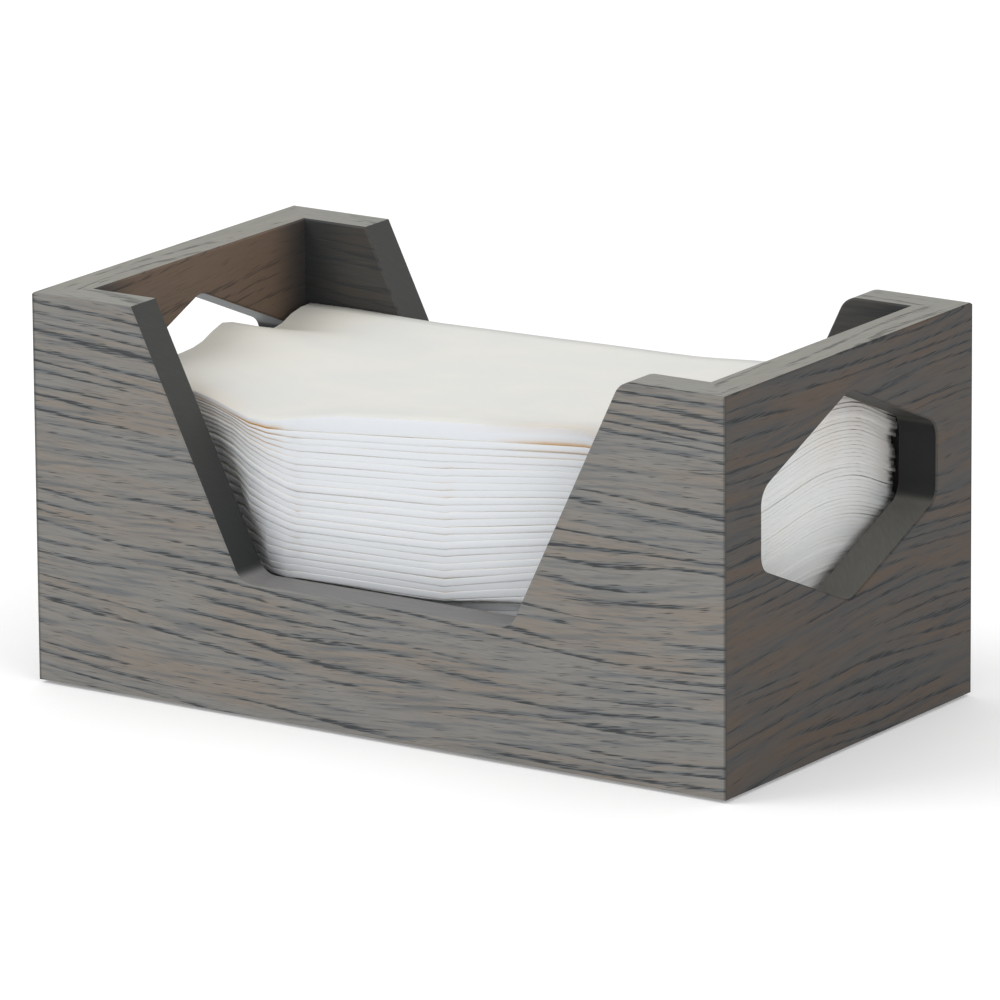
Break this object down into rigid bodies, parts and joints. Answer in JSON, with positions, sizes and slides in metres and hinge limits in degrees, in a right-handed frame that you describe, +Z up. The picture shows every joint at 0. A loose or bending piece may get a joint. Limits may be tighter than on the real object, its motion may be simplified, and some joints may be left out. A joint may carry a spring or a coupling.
{
  "type": "napkin caddy",
  "caption": "Open stained-oak caddy with mitred boards, tapered notches front and back, six-sided hand holes in the ends, and a stack of folded paper napkins that lifts out.",
  "frame": {"origin": "on the surface that the caddy stands on, in the middle of its footprint", "axes": "+X along the long boards, towards the end where the notches have round shoulders; +Y from the front board to the back board; +Z up"},
  "size_m": [0.235, 0.131, 0.116],
  "materials": {
    "stained_oak_long": "matte",
    "stained_oak_end": "matte",
    "stained_panel": "matte",
    "rubber": "matte",
    "tissue": "matte"
  },
  "bodies": {
    "holder": {"front_board": "stained_oak_long", "back_board": "stained_oak_long", "left_board": "stained_oak_end", "right_board": "stained_oak_end", "bottom_panel": "stained_panel", "bumper_front_left": "rubber", "bumper_front_right": "rubber", "bumper_back_left": "rubber", "bumper_back_right": "rubber"},
    "napkin_stack": {"napkin_01": "tissue", "napkin_02": "tissue", "napkin_03": "tissue", "napkin_04": "tissue", "napkin_05": "tissue", "napkin_06": "tissue", "napkin_07": "tissue", "napkin_08": "tissue", "napkin_09": "tissue", "napkin_10": "tissue", "napkin_11": "tissue", "napkin_12": "tissue", "napkin_13": "tissue", "napkin_14": "tissue", "napkin_15": "tissue", "napkin_16": "tissue", "napkin_17": "tissue", "napkin_18": "tissue", "napkin_19": "tissue", "napkin_20": "tissue", "napkin_21": "tissue", "napkin_22": "tissue", "napkin_23": "tissue", "napkin_24": "tissue", "napkin_25": "tissue", "napkin_26": "tissue", "napkin_27": "tissue", "napkin_28": "tissue", "napkin_29": "tissue", "napkin_30": "tissue", "napkin_31": "tissue", "napkin_32": "tissue", "napkin_33": "tissue", "napkin_34": "tissue", "napkin_35": "tissue", "napkin_36": "tissue"},
    "top_napkin_body": {"top_napkin": "tissue"}
  },
  "joints": [
    {"name": "stack_lift", "type": "slide", "parent": "holder", "child": "napkin_stack", "axis": [0, 0, 1], "range_m": [0, 0.11]},
    {"name": "top_napkin_lift", "type": "slide", "parent": "napkin_stack", "child": "top_napkin_body", "axis": [0, 0, 1], "range_m": [0, 0.05]}
  ]
}
